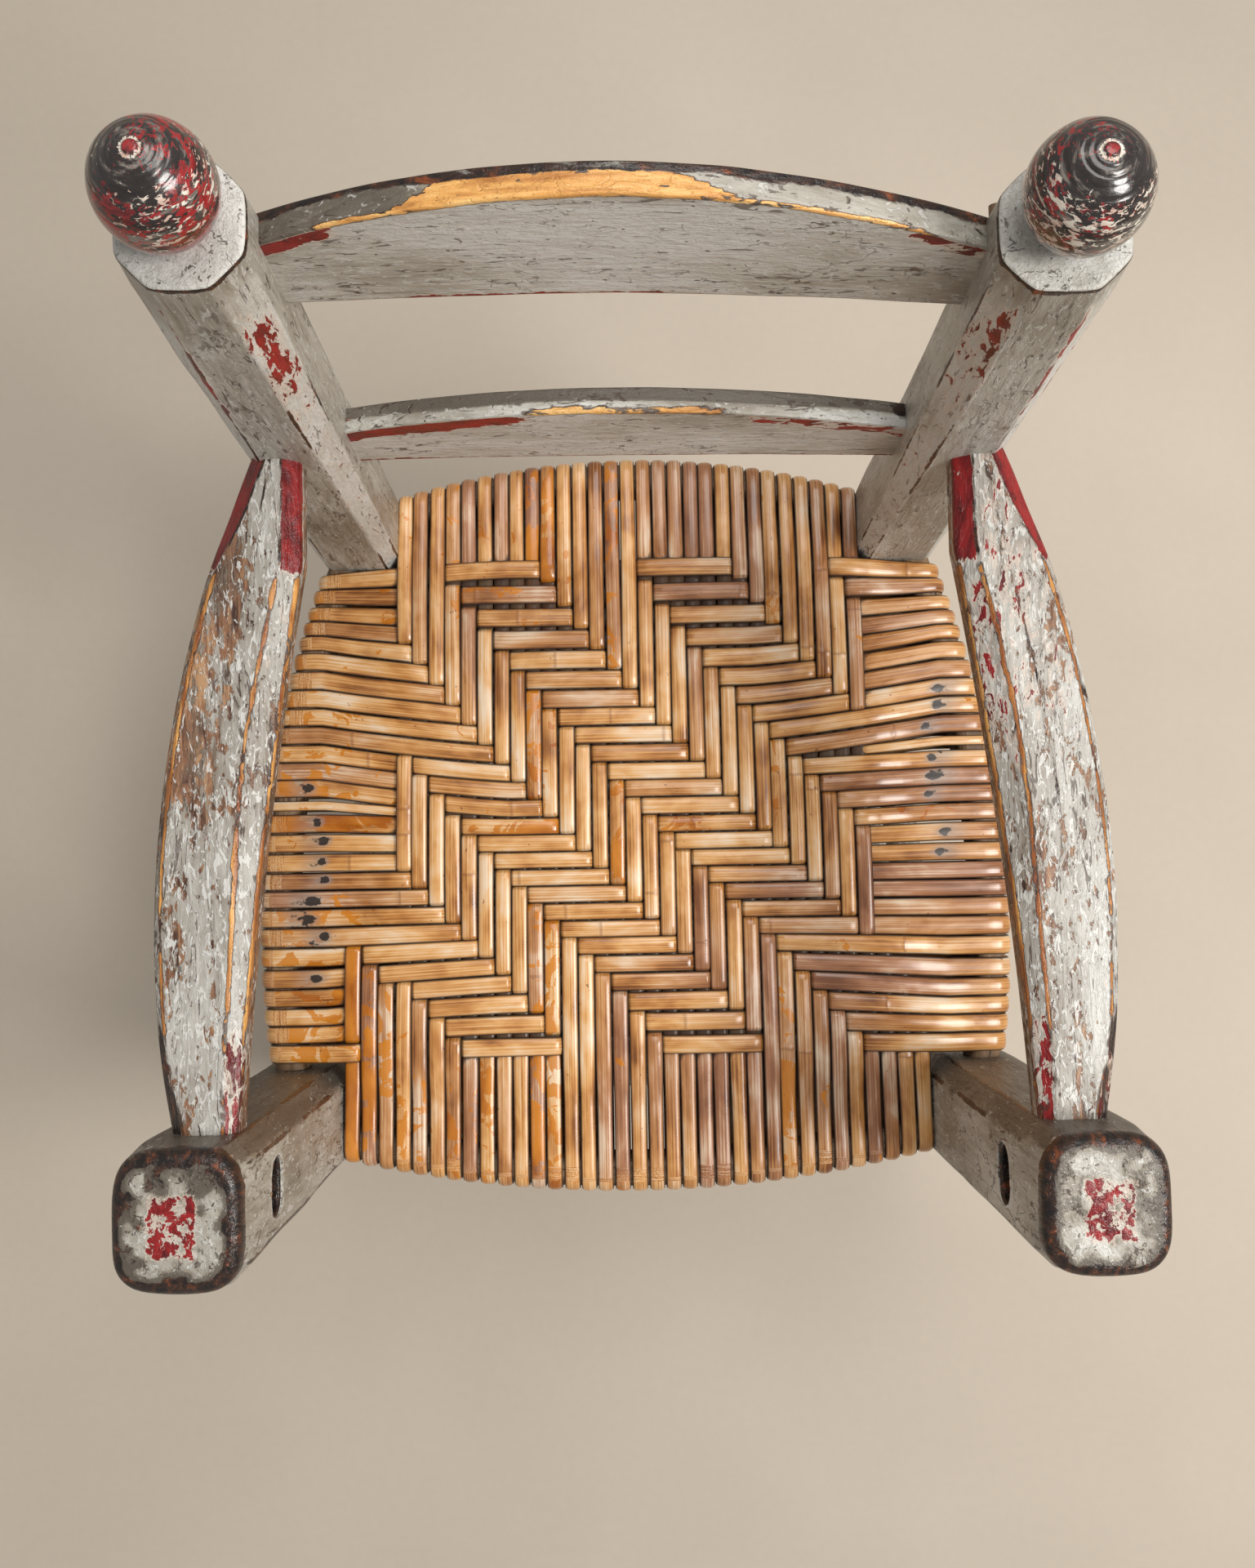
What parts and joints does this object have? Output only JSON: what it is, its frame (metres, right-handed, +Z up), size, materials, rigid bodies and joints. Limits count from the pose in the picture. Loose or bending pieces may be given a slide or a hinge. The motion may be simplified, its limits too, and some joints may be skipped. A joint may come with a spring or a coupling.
{
  "type": "child chair",
  "caption": "Small slat-back armchair for a child, with chamfered painted posts, ball finials, bowed arms and a seat of split cane woven in a broad twill.",
  "frame": {"origin": "on the floor, under the middle of the chair's outline seen from above", "axes": "+Z up, -Y the way the sitter faces, +X to the right of someone who looks at the chair from the front"},
  "size_m": [0.36, 0.346, 0.5294],
  "materials": {
    "frame_paint": "weathered pale grey paint, worn to brick red and bare wood along the edges",
    "finial_paint": "dark worn gloss paint with red and cream flecks",
    "pin_wood": "dark bare wood",
    "rail_wood": "bare aged wood",
    "stretcher_paint": "weathered grey paint, rubbed",
    "cane": "varnished split cane, half gloss"
  },
  "bodies": {
    "root": {"front_post_left": "frame_paint", "front_post_right": "frame_paint", "rear_post_left": "frame_paint", "rear_post_right": "frame_paint", "finial_left": "finial_paint", "finial_right": "finial_paint", "arm_left": "frame_paint", "arm_right": "frame_paint", "top_slat": "frame_paint", "lower_slat": "frame_paint", "slat_pins": "pin_wood", "seat_rail_front": "rail_wood", "seat_rail_rear": "rail_wood", "seat_rail_left": "rail_wood", "seat_rail_right": "rail_wood", "stretcher_front": "stretcher_paint", "stretcher_rear": "stretcher_paint", "stretcher_left_low": "stretcher_paint", "stretcher_left_high": "stretcher_paint", "stretcher_right_low": "stretcher_paint", "stretcher_right_high": "stretcher_paint", "seat_warp_splints": "cane", "seat_weft_splints": "cane"}
  },
  "joints": []
}
